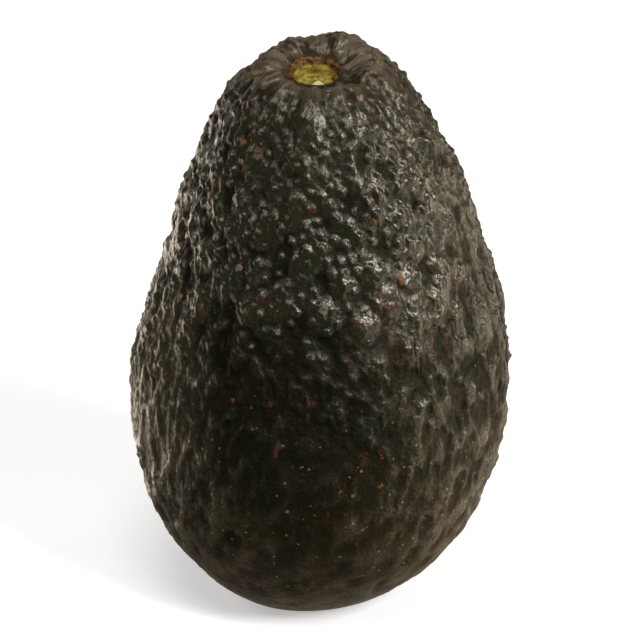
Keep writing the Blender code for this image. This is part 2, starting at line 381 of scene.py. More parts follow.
# Studio: the floor, the light that the room sends from each way, and the softboxes
FLOOR_M = 6.0
FLOOR_GLOW = 0.42
FLOOR_COLOUR = (0.85, 0.85, 0.84, 1.0)
FLOOR_ROUGHNESS = 0.9
FRONT_WALL = (0.030, 0.030, 0.030)
TABLE_MIDDLE = (0.16, 0.14, 0.10)
TABLE_RIGHT = (1.9, 1.66, 1.32)
TABLE_LEFT = (0.7, 0.6, 0.46)
TABLE_UNDER = (0.42, 0.34, 0.24)
BACK_HIGH = (0.30, 0.27, 0.23)
BACK_MIDDLE = (1.0, 0.9, 0.74)
BACK_LOW = (0.45, 0.39, 0.30)
BACK_LEFT_LOW = (0.20, 0.175, 0.14)
BACK_RIGHT = (1.5, 1.26, 0.92)
BACK_RIGHT_LOW = (0.80, 0.66, 0.47)
LEFT_STRIP = (4.6, 4.1, 3.4)
WHITE = (1.0, 1.0, 1.0)
# (name, azimuth, elevation, distance in metres, width and height in metres, watts, colour)
SOFTBOXES = (
    ("overhead_softbox", -100.0, 64.0, 0.9, (0.4, 0.4), 4.2, WHITE),
    ("key_softbox", -47.0, 33.0, 0.9, (0.3, 0.3), 8.5, WHITE),
    ("front_left_softbox", -142.0, 40.0, 0.9, (0.25, 0.25), 1.5, WHITE),
    ("right_softbox", 5.0, 4.0, 0.9, (0.3, 0.3), 2.5, (1.0, 0.95, 0.87)),
    ("left_softbox", 138.0, 3.0, 0.8, (0.4, 0.9), 0.9, (1.0, 0.93, 0.82)),
)


def geodesic(per_edge):
    sphere = bmesh.new()
    bmesh.ops.create_icosphere(sphere, subdivisions=1, radius=1.0)
    bmesh.ops.subdivide_edges(sphere, edges=sphere.edges[:], cuts=per_edge - 1, use_grid_fill=True)
    for vertex in sphere.verts:
        vertex.co.normalize()
    return sphere


def smooth_step(value, low, high):
    share = np.clip((value - low) / (high - low), 0.0, 1.0)
    return share * share * (3.0 - 2.0 * share)


def along(pairs, heights):
    """Values read at heights from (height, value) pairs, in straight lines between them."""
    levels, values = np.array(pairs).T
    return np.interp(heights, levels, values)


def spline(places, values, wanted):
    """The natural cubic spline through values at places, read at the places wanted."""
    gaps = np.diff(places)
    count = len(places)
    system = np.eye(count)
    right = np.zeros((count, values.shape[1]))
    slopes = np.diff(values, axis=0) / gaps[:, None]
    for i in range(1, count - 1):
        system[i, i - 1 : i + 2] = gaps[i - 1], 2.0 * (gaps[i - 1] + gaps[i]), gaps[i]
        right[i] = 6.0 * (slopes[i] - slopes[i - 1])
    curvature = np.linalg.solve(system, right)
    span = np.clip(np.searchsorted(places, wanted, side="right") - 1, 0, count - 2)
    gap = gaps[span][:, None]
    before = (wanted - places[span])[:, None]
    after = gap - before
    return (
        (curvature[span] * after**3 + curvature[span + 1] * before**3) / (6.0 * gap)
        + (values[span] / gap - curvature[span] * gap / 6.0) * after
        + (values[span + 1] / gap - curvature[span + 1] * gap / 6.0) * before
    )


def turned_profile():
    """(lengths, radii, heights) of the profile's samples in millimetres, from the blossom end to the stem."""
    points = np.array(PROFILE_MM)
    chords = np.concatenate([[0.0], np.cumsum(np.linalg.norm(np.diff(points, axis=0), axis=1))])
    samples = spline(chords, points, np.linspace(0.0, chords[-1], PROFILE_SAMPLES))
    lengths = np.concatenate([[0.0], np.cumsum(np.linalg.norm(np.diff(samples, axis=0), axis=1))])
    return lengths, np.maximum(samples[:, 0], 0.0), samples[:, 1]


LENGTHS, RADII, HEIGHTS = turned_profile()


def shares_below(crowding):
    """The share of a sphere's points that go below each sample of the profile, for a crowding."""
    bands = np.diff(LENGTHS) * (RADII[1:] + RADII[:-1]) * along(crowding, HEIGHTS[1:])
    area = np.concatenate([[0.0], np.cumsum(bands)])
    return area / area[-1]


def places_of(directions, crowding):
    """(azimuths, lengths up the profile) on the skin for directions on the unit sphere."""
    azimuths = np.arctan2(directions[:, 1], directions[:, 0])
    return azimuths, np.interp((1.0 + directions[:, 2]) / 2.0, shares_below(crowding), LENGTHS)


def form_directions(azimuths, lengths):
    """Directions on the unit sphere, for the crowding that the CAD skin has."""
    z = np.clip(2.0 * np.interp(lengths, LENGTHS, shares_below(FORM_CROWDING)) - 1.0, -1.0, 1.0)
    ring = np.sqrt(1.0 - z * z)
    return np.stack([ring * np.cos(azimuths), ring * np.sin(azimuths), z], axis=1)


def length_at(height):
    outside = np.argmax(HEIGHTS) + 1
    return np.interp(height, HEIGHTS[:outside], LENGTHS[:outside])


def on_body(azimuths, lengths):
    """The straight body's points, in millimetres."""
    radii = np.interp(lengths, LENGTHS, RADII)
    heights = np.interp(lengths, LENGTHS, HEIGHTS)
    return np.stack([radii * np.cos(azimuths), radii * np.sin(azimuths), heights], axis=1)


def outward(azimuths, lengths):
    """The straight body's normals."""
    across = np.interp(lengths, LENGTHS, np.gradient(RADII, LENGTHS))
    up = np.interp(lengths, LENGTHS, np.gradient(HEIGHTS, LENGTHS))
    normals = np.stack([up * np.cos(azimuths), up * np.sin(azimuths), -across], axis=1)
    return normals / np.linalg.norm(normals, axis=1)[:, None]


def leaned(points):
    """Bends the neck towards -Y round a circle, and sways the fruit to +X."""
    x, y, z = points.T
    turn_rate = NECK_BEND / NECK_LENGTH_MM
    turn = turn_rate * np.maximum(z - BEND_START_MM, 0.0)
    bent_y = y * np.cos(turn) - (1.0 - np.cos(turn)) / turn_rate
    bent_z = np.minimum(z, BEND_START_MM) + np.sin(turn) / turn_rate + y * np.sin(turn)
    up = np.clip(z / PROFILE_MM[-1][1], 0.0, SWAY_TOP)
    sway = sum(part * up**power for power, part in enumerate(SWAY_MM, start=1))
    return np.stack([x + sway, bent_y, bent_z], axis=1)


def random_directions(count, draw):
    z = np.array([draw.uniform(-1.0, 1.0) for _ in range(count)])
    angle = np.array([draw.uniform(0.0, 2.0 * math.pi) for _ in range(count)])
    ring = np.sqrt(1.0 - z * z)
    return np.stack([ring * np.cos(angle), ring * np.sin(angle), z], axis=1)


def unevenness(directions):
    """Rise of the broad lumps over the body, in millimetres."""
    draw = random.Random(SEED)
    centres, reaches, rises = [], [], []
    for _ in range(FAINT_LUMPS):
        z = draw.uniform(-1.0, 1.0)
        angle = draw.uniform(0.0, 2.0 * math.pi)
        ring = math.sqrt(1.0 - z * z)
        centres.append((ring * math.cos(angle), ring * math.sin(angle), z))
        reaches.append(FAINT_REACH * draw.uniform(*FAINT_SPREAD))
        rises.append(draw.uniform(-FAINT_RISE_MM, FAINT_RISE_MM))
    for azimuth, height, reach, rise in LUMPS:
        centres.append(form_directions(np.radians([azimuth]), np.array([length_at(height)]))[0])
        reaches.append(reach)
        rises.append(rise)
    apart = 2.0 - 2.0 * directions @ np.array(centres).T
    return np.exp(-apart / np.array(reaches) ** 2) @ np.array(rises)


def folds(directions, heights):
    """Rise of the folds that run down the neck from the stem scar, in millimetres."""
    azimuth = np.arctan2(directions[:, 1], directions[:, 0])
    waves = sum(rise * np.cos(count * azimuth + phase) for count, phase, rise in FOLDS)
    polar_fade = smooth_step(np.hypot(directions[:, 0], directions[:, 1]), *POLE_FADE)
    return waves * smooth_step(heights, FOLD_START_MM, FOLD_FULL_MM) * polar_fade


def turn_from(azimuth, azimuths):
    """Turns in radians, from -pi to pi, from an azimuth to others."""
    return (azimuths - azimuth + math.pi) % (2.0 * math.pi) - math.pi


def at_least(least, share):
    """A share from 0 to 1 turned into one from the least to 1."""
    return least + (1.0 - least) * share


def point_tree(points):
    tree = kdtree.KDTree(len(points))
    for i, point in enumerate(points):
        tree.insert(point, i)
    tree.balance()
    return tree


class Bumps:
    """Domes scattered over the skin, each with its own size, tilt and looks."""

    def __init__(self, tries, spacings, widths, lengths, seed):
        draw = random.Random(seed)
        azimuths, ups = places_of(random_directions(tries, draw), BUMP_CROWDING)
        points = on_body(azimuths, ups)
        clear = along(spacings, points[:, 2])
        kept = np.zeros((0, 3))
        chosen = []
        for i, point in enumerate(points):
            if not len(kept) or (((kept - point) ** 2) @ (1.0, 1.0, UPRIGHT**-2)).min() > clear[i] ** 2:
                kept = np.vstack([kept, point])
                chosen.append(i)
        self.points = kept
        self.azimuths = azimuths[chosen]
        self.ups = ups[chosen]
        count = len(chosen)
        self.width = clear[chosen] * [draw.uniform(*widths) for _ in range(count)]
        self.length = self.width * [draw.uniform(*lengths) for _ in range(count)]
        self.tilt = np.array([draw.gauss(0.0, BUMP_TILT) for _ in range(count)])
        self.rise = np.array([draw.uniform(LOWEST_BUMP, 1.0) for _ in range(count)])
        self.lot = np.array([draw.random() for _ in range(count)])

    def read(self, azimuths, ups, points, power):
        """(rise, nearness to the top, number of the bump) at points: where bumps meet, the highest one's."""
        tree = point_tree(self.points)
        near = np.array([[found[1] for found in tree.find_n(point, NEAREST)] for point in points])
        radii = np.hypot(points[:, 0], points[:, 1])
        side = turn_from(self.azimuths[near], azimuths[:, None]) * radii[:, None]
        up = ups[:, None] - self.ups[near]
        cos, sin = np.cos(self.tilt[near]), np.sin(self.tilt[near])
        across = (side * cos + up * sin) / self.width[near]
        upwards = (up * cos - side * sin) / self.length[near]
        nearness = np.maximum(1.0 - (across**2 + upwards**2), 0.0)
        domes = self.rise[near] * nearness**power
        rows = np.arange(len(points))
        best = domes.argmax(axis=1)
        return domes[rows, best], nearness[rows, best], near[rows, best]


def noise_at(points, size, stretch=1.0, shift=0.0):
    """Smooth noise from -1 to 1, with features of a size in millimetres, stretched upright."""
    scaled = points / (size, size, size * stretch) + shift
    return np.array([noise.noise(point) for point in scaled])


def ridges(points, size, stretch, shift):
    """Sharp-crested ridges from 0 to 1 that wander upright."""
    wider, upright, other = WANDER_LAYER
    aside = WANDER_MM * noise_at(points, wider * size, upright, shift + other)
    wandering = points + np.stack([aside, aside, 0.0 * aside], axis=1)
    crests = 1.0 - np.abs(noise_at(wandering, size, stretch, shift)) * RIDGE_SHARPNESS
    return np.clip(crests, 0.0, 1.0) ** RIDGE_POWER


def layered(made, points, layers):
    """The sum of layers of noise made at points, each by its share."""
    return sum(share * made(points, *layer) for share, *layer in layers)


def beyond_scar(points, limits):
    """0 at the scar and 1 away from it, between two distances in millimetres from its rim."""
    near, far = limits
    distance = np.hypot(points[:, 0] + SCAR_OFFSET_MM, points[:, 1])
    return smooth_step(distance, SCAR_RADIUS_MM + near, SCAR_RADIUS_MM + far)


def emphasis(region, azimuths, heights):
    """How strong the relief is on the skin because of a region: 1 outside it."""
    azimuth, reach, foot, top, change = region
    side = np.exp(-((turn_from(math.radians(azimuth), azimuths) / reach) ** 2))
    return 1.0 + change * side * smooth_step(heights, *foot) * (1.0 - smooth_step(heights, *top))


def rolled_neck(azimuths, ups):
    """Places in millimetres on a narrow cylinder, in which the skin's folds run straight down."""
    x, y = NECK_ROLL_MM * np.cos(azimuths), NECK_ROLL_MM * np.sin(azimuths)
    return np.stack([x, y, ups / NECK_ROLL_STRETCH], axis=1)


def neck_folds(azimuths, ups):
    """Sharp-crested folds from 0 to 1 that run down the neck from the stem scar."""

    def crests(points, *layer):
        return 1.0 - np.abs(noise_at(points, *layer)) * RIDGE_SHARPNESS

    return np.clip(layered(crests, rolled_neck(azimuths, ups), NECK_FOLD_LAYERS), 0.0, 1.0)


def marks_at(azimuths, points):
    """(rise, share, colour) of the photograph's own marks at points on the skin."""
    rise, share = np.zeros(len(points)), np.zeros(len(points))
    colour = np.zeros((len(points), 3))
    uneven = MARK_UNEVENNESS * noise_at(points, *MARK_LAYER)
    outside = np.argmax(HEIGHTS)
    ups = np.interp(points[:, 2], HEIGHTS[:outside], LENGTHS[:outside])
    radii = np.hypot(points[:, 0], points[:, 1])
    for azimuth, height, half_width, half_length, top, paint in MARKS:
        turn = turn_from(math.radians(azimuth), azimuths)
        off = (turn * radii / half_width) ** 2 + ((ups - length_at(height)) / half_length) ** 2
        nearness = np.maximum(1.0 - off * (1.0 + uneven) + 0.5 * uneven * (off < 1.5), 0.0)
        nearness *= np.abs(turn) < 1.0
        rise = np.maximum(rise, top * nearness**MARK_POWER)
        own = smooth_step(nearness, 0.0, 0.5)
        colour[own > share] = paint
        share = np.maximum(share, own)
    return rise, share, colour


def tip_share(pebbles, number, nearness, heights):
    """How far the cork on a pebble's tip covers places on it, for the few pebbles that have it."""
    tipped = pebbles.lot[number] < along(TIP_SHARE, heights)
    return np.where(tipped, TIP_COVER * smooth_step(nearness, *TIP_NEARNESS), 0.0)


def halo_share(points):
    """How far the brown ring round the scar covers places on the skin: on its far left side alone."""
    ring = HALO_COVER * (1.0 - beyond_scar(points, HALO_LIMITS_MM)) * (points[:, 2] > NECK_TOP_MM)
    return ring * smooth_step(points[:, 1] - points[:, 0], -HALO_FADE_MM, HALO_FADE_MM)


def fine_relief(azimuths, ups, points, pebble, mark_rise, crinkle):
    """Rise of everything finer than the fruit's form, in millimetres."""
    heights = points[:, 2]
    knolls = Bumps(KNOLL_TRIES, KNOLL_SPACING_MM, KNOLL_WIDTHS, KNOLL_LENGTHS, SEED + 5)
    knoll = knolls.read(azimuths, ups, points, KNOLL_POWER)[0]
    smooth = emphasis(SMOOTH_RIGHT, azimuths, heights)
    patchy = (PATCH_MEAN + PATCH_CHANGE * noise_at(points, *PATCH_LAYER)) * smooth
    calm = emphasis(CALM_FRONT, azimuths, heights)
    bold = emphasis(BOLD_MIDDLE, azimuths, heights)
    swell = layered(noise_at, points, SWELL_LAYERS) * at_least(0.5, calm)
    edge = beyond_scar(points, RELIEF_LIMITS_MM)
    pebble_mm = along(PEBBLE_MM, heights)
    domes = np.maximum(pebble_mm * pebble * patchy, mark_rise + MARK_FOOT * pebble_mm)
    ridge = layered(ridges, points, RIDGE_LAYERS) - RIDGE_LEVEL
    flanks = 1.0 + FLANK_RIDGES * np.cos(azimuths) ** 2
    return (
        domes * edge * at_least(0.5, calm)
        + along(KNOLL_MM, heights) * knoll * edge * calm * bold
        + along(SWELL_MM, heights) * swell * edge * emphasis(SWOLLEN_RIGHT, azimuths, heights)
        + along(RIDGE_MM, heights) * ridge * at_least(0.3, edge) * flanks
        + along(NECK_FOLD_MM, heights) * (neck_folds(azimuths, ups) - NECK_FOLD_LEVEL)
        + along(CRINKLE_MM, heights) * crinkle * at_least(0.4, edge)
    )


def skin_relief(azimuths, ups, points):
    """(rise in mm, relief from 0 in a valley to 1 on a top, marks' colours with their shares) on the skin."""
    heights = points[:, 2]
    form = form_directions(azimuths, ups)
    pebbles = Bumps(PEBBLE_TRIES, SPACING_MM, PEBBLE_WIDTHS, PEBBLE_LENGTHS, SEED + 2)
    pebble, nearness, number = pebbles.read(azimuths, ups, points, PEBBLE_POWER)
    mark_rise, mark_share, mark_colour = marks_at(azimuths, points)
    crinkle = noise_at(points, *CRINKLE_LAYER)

    fine = fine_relief(azimuths, ups, points, pebble, mark_rise, crinkle)
    level = along(LEVEL_MM, heights)
    fine -= (1.0 - PEAK_SHARE) * np.maximum(fine - level - PEAK_MM, 0.0)
    relief = np.clip(0.5 + (fine - level) / (2.0 * level + along(EVENNESS_MM, heights)), 0.0, 1.0)
    standing = smooth_step(heights, 0.0, SPOT_FADE_MM) * (heights > 0.0)
    rise = unevenness(form) + folds(form, heights) + (fine - level) * standing

    tips = tip_share(pebbles, number, nearness + TIP_RAGGED * crinkle, heights)
    tips *= beyond_scar(points, RELIEF_LIMITS_MM)
    palette = np.array(TIP_COLOURS)[(np.arange(len(pebbles.lot)) * 5 // 3) % len(TIP_COLOURS)]
    halo = halo_share(points)
    colour = np.where((mark_share > tips)[:, None], mark_colour, palette[number])
    share = np.maximum(mark_share, tips)
    colour = np.where((halo > share)[:, None], HALO, colour)
    return rise, relief, np.column_stack([colour, np.maximum(share, halo)])


def linked(item):
    bpy.context.scene.collection.objects.link(item)
    return item


def made_piece(name, shape, places, attributes, material):
    """A piece from a bmesh moved to places in millimetres, with point attributes (name, kind, values)."""
    for vertex, place in zip(shape.verts, places * MM):
        vertex.co = place
    mesh = bpy.data.meshes.new(name)
    shape.to_mesh(mesh)
    shape.free()
    fields = {"FLOAT": "value", "FLOAT_VECTOR": "vector", "FLOAT_COLOR": "color"}
    for label, kind, values in attributes:
        values = np.asarray(values, np.float32).ravel()
        mesh.attributes.new(label, kind, "POINT").data.foreach_set(fields[kind], values)
    mesh.shade_smooth()
    mesh.materials.append(material)
    return linked(bpy.data.objects.new(name, mesh))


def build_skin():
    """(the skin, its points in the straight frame)"""
    sphere = geodesic(MESH_PER_EDGE)
    directions = np.array([vertex.co for vertex in sphere.verts])
    azimuths, ups = places_of(directions, CROWDING)
    points = on_body(azimuths, ups)
    rise, relief, marks = skin_relief(azimuths, ups, points)
    points = points + outward(azimuths, ups) * rise[:, None]
    top = ups > length_at(NECK_TOP_MM)
    levelled = (1.0 - beyond_scar(points, LEVELLED_LIMITS_MM)) * top
    points[:, 2] += (SCAR_RIM_MM - points[:, 2]) * LEVELLED_SHARE * levelled
    points[:, 2] -= SCAR_SUNK_MM * (1.0 - beyond_scar(points, SUNK_LIMITS_MM)) * top
    placed = leaned(points)
    placed[:, 2] = np.maximum(placed[:, 2], 0.0)
    attributes = (
        ("rolled", "FLOAT_VECTOR", rolled_neck(azimuths, ups) * MM),
        ("relief", "FLOAT", relief),
        ("marks", "FLOAT_COLOR", marks),
    )
    return made_piece("skin", sphere, placed, attributes, skin_material()), points


def scar_rim_heights(skin_points, angles):
    """Heights of the skin round the scar, in the straight frame."""
    tree = point_tree(skin_points[skin_points[:, 2] > NECK_TOP_MM])
    radius = SCAR_RADIUS_MM + RIM_OUTSIDE_MM
    heights = []
    for angle in angles:
        x, y = radius * math.cos(angle) - SCAR_OFFSET_MM, radius * math.sin(angle)
        found = tree.find_range((x, y, RIM_LEVEL_MM), RIM_REACH_MM)
        found.sort(key=lambda item: math.hypot(item[0].x - x, item[0].y - y))
        heights.append(np.mean([item[0].z for item in found[:RIM_POINTS]]))
    return np.mean([np.roll(heights, shift) for shift in range(-2, 3)], axis=0)


def flap_share(x, y):
    """1 inside the pale triangular flap at the scar's near edge, 0 outside it."""
    down = (FLAP_MM["tip_y"] - y) / (FLAP_MM["tip_y"] - FLAP_MM["foot_y"])
    across = down * FLAP_MM["half_width"] - abs(x - FLAP_MM["x"])
    return max(0.0, min(1.0, *[FLAP_EDGE * inside for inside in (down, FLAP_FOOT - down, across)]))


def stain_and_shade_at(x, y):
    """Strength of the brown stains and of the painted shade at a place on the scar's floor."""
    return sum(
        strength * math.exp(-(((x - at_x) / half_x) ** 2) - ((y - at_y) / half_y) ** 2)
        for at_x, at_y, half_x, half_y, strength in SCAR_STAINS_AND_SHADE_MM
    )


def flat_noise(x, y, per_mm, layer):
    return noise.noise((x * per_mm, y * per_mm, layer))


def scar_height(radius, angle, rim, floor_level):
    """(height, share of wall, share of flap) on the scar at a radius and an angle."""
    x, y = radius * math.cos(angle), radius * math.sin(angle)
    wall = float(smooth_step(radius, SCAR_FLOOR_RADIUS_MM, SCAR_RADIUS_MM - 0.1))
    wobble = SCAR_WOBBLE_MM * flat_noise(x, y, 0.8, 3.0) * (1.0 - wall)
    fibre = SCAR_FIBRE_MM * flat_noise(x, y, 2.2, 9.0) + SCAR_FIBRE_MM / 2.0 * flat_noise(x, y, 5.0, 1.0)
    flap = flap_share(x, y)
    floor = floor_level + SCAR_DOME_MM * (1.0 - (radius / SCAR_FLOOR_RADIUS_MM) ** 2) + wobble + fibre
    terrace = SCAR_TERRACE_MM * math.sin(radius * 26.0 + 3.0 * flat_noise(x, y, 1.0, 5.0)) * wall
    crest = SCAR_CREST_MM * (0.5 + flat_noise(math.cos(angle), math.sin(angle), 2.2, 8.0)) * wall
    cup = floor + (rim + crest - floor) * wall + terrace
    return cup + (max(cup, rim - FLAP_MM["sunk"]) - cup) * flap, wall, flap


def bridge(shape, outer_ring, inner_ring):
    for i in range(len(outer_ring)):
        j = (i + 1) % len(outer_ring)
        shape.faces.new((outer_ring[i], outer_ring[j], inner_ring[j], inner_ring[i]))


def build_scar(skin_points):
    """A shallow cup with a corky wall and a fibrous floor, whose rim follows the skin round it."""
    angles = np.linspace(0.0, 2.0 * math.pi, SCAR_SIDES, endpoint=False)
    rims = scar_rim_heights(skin_points, angles)
    floor_level = rims.mean() - SCAR_DEPTH_MM
    wall_radii = np.linspace(SCAR_RADIUS_MM + SCAR_LIP_MM, SCAR_FLOOR_RADIUS_MM, SCAR_WALL_RINGS)
    floor_radii = np.linspace(SCAR_FLOOR_RADIUS_MM, SCAR_CENTRE_MM, SCAR_FLOOR_RINGS)
    cup = bmesh.new()
    rings, shares = [], []
    for radius in (*wall_radii, *floor_radii[1:]):
        ring = []
        for angle, rim in zip(angles, rims):
            cos, sin = math.cos(angle), math.sin(angle)
            height, wall, flap = scar_height(radius, angle, rim, floor_level)
            reach = radius * (1.0 + SCAR_RAGGED * flat_noise(cos, sin, 3.0, 4.0))
            # Painted shade: the wall darkens towards its near right side
            shaded_side = smooth_step(SHADED_SIDE_WAY[0] * cos + SHADED_SIDE_WAY[1] * sin, 0.0, 0.8)
            ring.append(cup.verts.new((reach * cos - SCAR_OFFSET_MM, reach * sin, height)))
            shares.append((wall, flap, stain_and_shade_at(reach * cos, reach * sin), shaded_side))
        rings.append(ring)
    for outer_ring, inner_ring in zip(rings, rings[1:]):
        bridge(cup, outer_ring, inner_ring)
    cup.faces.new(rings[-1])
    below = []
    for vertex in rings[0]:
        x, y = vertex.co.x * SCAR_UNDER_SHARE, vertex.co.y * SCAR_UNDER_SHARE
        below.append(cup.verts.new((x, y, floor_level - SCAR_UNDER_MM)))
    shares += [(1.0, 0.0, 0.0, 1.0)] * SCAR_SIDES
    bridge(cup, below, rings[0])
    cup.faces.new(list(reversed(below)))
    bmesh.ops.recalc_face_normals(cup, faces=cup.faces[:])
    placed = leaned(np.array([vertex.co for vertex in cup.verts]))
    columns = zip(("wall", "flap", "stain_and_shade", "shaded_side"), np.array(shares).T)
    attributes = [(name, "FLOAT", values) for name, values in columns]
    return made_piece("stem_scar", cup, placed, attributes, scar_material())


class Shading:
    """A node tree, by what its nodes work out. A value is a number, a colour or a socket to link from."""

    def __init__(self, tree, coordinates, unit):
        self.tree = tree
        self.unit = unit
        self.place = self.node("ShaderNodeTexCoord").outputs[coordinates]
        self.at = self.node("ShaderNodeSeparateXYZ", {"Vector": self.place}).outputs

    def feed(self, socket, value):
        if isinstance(value, bpy.types.NodeSocket):
            self.tree.links.new(value, socket)
        elif socket.type == "RGBA":
            socket.default_value = (*value, 1.0)
        else:
            socket.default_value = value

    def node(self, kind, inputs=None, **settings):
        made = self.tree.nodes.new(kind)
        for name, value in settings.items():
            setattr(made, name, value)
        for name, value in (inputs or {}).items():
            self.feed(made.inputs[name], value)
        return made

    def attribute(self, name, output="Fac"):
        return self.node("ShaderNodeAttribute", attribute_name=name).outputs[output]

    def ramp(self, value, low, high, to_low=0.0, to_high=1.0):
        """A value from low to high, mapped smoothly to between to_low and to_high."""
        inputs = {"Value": value, "From Min": low, "From Max": high, "To Min": to_low, "To Max": to_high}
        return self.node("ShaderNodeMapRange", inputs, interpolation_type="SMOOTHSTEP").outputs["Result"]

    def mix(self, share, first, second):
        return self.node("ShaderNodeMix", {0: share, 6: first, 7: second}, data_type="RGBA").outputs[2]

    def joined(self, operation, values):
        total, *others = values
        for value in others:
            total = self.node("ShaderNodeMath", {0: total, 1: value}, operation=operation).outputs[0]
        return total

    def times(self, *values):
        return self.joined("MULTIPLY", values)

    def plus(self, *values):
        return self.joined("ADD", values)

    def along(self, axis, start, end, to_start=0.0, to_end=1.0):
        """A ramp between two places on an axis."""
        return self.ramp(self.at[axis], start * self.unit, end * self.unit, to_start, to_end)

    def zone(self, *limits):
        """1 inside the limits, each (axis, start, end), and 0 outside them."""
        return self.times(*[self.along(*limit) for limit in limits])

    def scaled(self, factors):
        return self.node("ShaderNodeVectorMath", {0: self.place, 1: factors}, operation="MULTIPLY").outputs[0]

    def noise(self, size, detail, roughness=0.5, where=None):
        where = self.place if where is None else where
        scale = 1.0 / (size * self.unit)
        inputs = {"Vector": where, "Scale": scale, "Detail": detail, "Roughness": roughness}
        return self.node("ShaderNodeTexNoise", inputs).outputs["Fac"]

    def cells(self, size, feature, where=None):
        where = self.place if where is None else where
        inputs = {"Vector": where, "Scale": 1.0 / (size * self.unit)}
        return self.node("ShaderNodeTexVoronoi", inputs, feature=feature).outputs

    def bump(self, height, strength, distance):
        inputs = {"Height": height, "Strength": strength, "Distance": distance * self.unit}
        return self.node("ShaderNodeBump", inputs).outputs["Normal"]


def new_material(name):
    material = bpy.data.materials.new(name)
    material.use_nodes = True
    return material, material.node_tree.nodes["Principled BSDF"].inputs


def skin_colour(skin, relief, rolled, left_middle):
    """The rind: olive to brown, lighter on the pebbles and darker in the valleys as painted shade, with mauve
    dust and painted sheen lightening the sides, a painted reflection of the table lightening the foot, and
    tan round the scar.
    """
    # Painted shade: the valleys take darker colours than the pebble tops, by the relief
    valleys = skin.mix(skin.ramp(skin.noise(14.0, 3.0), 0.35, 0.65), SHADED_VALLEY_GREEN, SHADED_VALLEY_BROWN)
    tops = skin.mix(skin.ramp(skin.noise(1.1, 4.0), 0.35, 0.7), TOP_GREEN, TOP_BROWN)
    rind = skin.mix(skin.ramp(relief, 0.35, 0.95), valleys, tops)
    # Dust with painted sheen on the flanks and a painted reflection of the table at the foot
    dust_and_sheen = skin.plus(*[skin.along(*limits) for limits in DUST_AND_SHEEN_MM])
    dust_and_sheen = skin.plus(dust_and_sheen, skin.times(left_middle, LEFT_MIDDLE_DUST_AND_SHEEN))
    dust_and_sheen = skin.times(dust_and_sheen, skin.ramp(skin.noise(7.0, 3.0), 0.38, 0.62, 0.5, 1.1))
    rind = skin.mix(dust_and_sheen, rind, skin.mix(skin.ramp(relief, 0.3, 0.8), DUST_AND_SHEEN_LOW, DUST_AND_SHEEN_HIGH))
    collar = skin.times(skin.along(*COLLAR_MM), skin.ramp(relief, 0.2, 0.7, 0.25, 1.0))
    collar = skin.times(collar, skin.ramp(skin.noise(0.9, 2.0, 0.5, rolled), 0.36, 0.62, 0.3, 1.0))
    return skin.mix(collar, rind, COLLAR)


def with_dots(skin, colour):
    """Small pale ochre dots, and a few orange ones, on the lower half."""
    cells = skin.cells(1.9, "F1")
    lot = skin.node("ShaderNodeSeparateColor", {"Color": cells["Color"]}).outputs
    dot = skin.times(skin.ramp(cells["Distance"], 0.17, 0.09), skin.ramp(lot[0], 0.10, 0.60))
    dot_colour = skin.mix(skin.ramp(lot[1], 0.68, 0.78), OCHRE, DOT_ORANGE)
    return skin.mix(skin.times(dot, skin.along(*DOTS_MM)), colour, dot_colour)


def skin_height(skin, rolled, crack):
    """Relief below about a millimetre: grain, upright streaks on the flanks, neck wrinkles and cracks."""
    grain = skin.plus(skin.times(skin.cells(0.75, "SMOOTH_F1")["Distance"], -0.8), skin.noise(0.8, 1.0))
    aside = skin.node("ShaderNodeMath", {0: skin.at["X"]}, operation="ABSOLUTE").outputs[0]
    flank = skin.ramp(aside, 10.0 * MM, 28.0 * MM, 0.2, 2.0)
    streaks = skin.times(skin.noise(0.9, 1.0, 0.5, skin.scaled((1.0, 1.0, 0.22))), flank)
    wrinkles = skin.times(skin.noise(0.55, 1.0, 0.5, rolled), skin.along("Z", 86.0, 98.0, 0.0, 2.2))
    strength = skin.plus(skin.along("Z", 82.0, 66.0, 0.6, 1.0), skin.along("Z", 40.0, 20.0, 0.0, -0.4))
    return skin.plus(skin.times(skin.plus(grain, streaks, wrinkles), strength), skin.times(crack, -1.2))


def skin_gloss(skin, relief, left_middle, marked):
    """Specular level: waxy pebbles over duller valleys, duller still in the middle and on the marks."""
    speckled = skin.ramp(skin.noise(0.38, 1.0), 0.35, 0.65, 0.55, 1.3)
    gloss = skin.times(skin.ramp(relief, 0.25, 0.65, 0.10, 0.62), speckled)
    gloss = skin.plus(gloss, skin.along("X", 8.0, 26.0, 0.0, 0.06))
    beyond = skin.plus(*[skin.along(*limits) for limits in BEYOND_MIDDLE_MM])
    gloss = skin.times(gloss, skin.ramp(beyond, 0.0, 1.0, 0.50, 1.0))
    gloss = skin.plus(gloss, skin.times(left_middle, LEFT_MIDDLE_GLOSS))
    gloss = skin.times(gloss, skin.along("Z", 86.0, 96.0, 1.0, 0.82))
    gloss = skin.plus(gloss, skin.times(skin.zone(*GLOSSY_PATCH_MM), GLOSSY_PATCH_GLOSS))
    return skin.times(gloss, skin.ramp(marked, 0.0, 1.0, 1.0, 0.3))


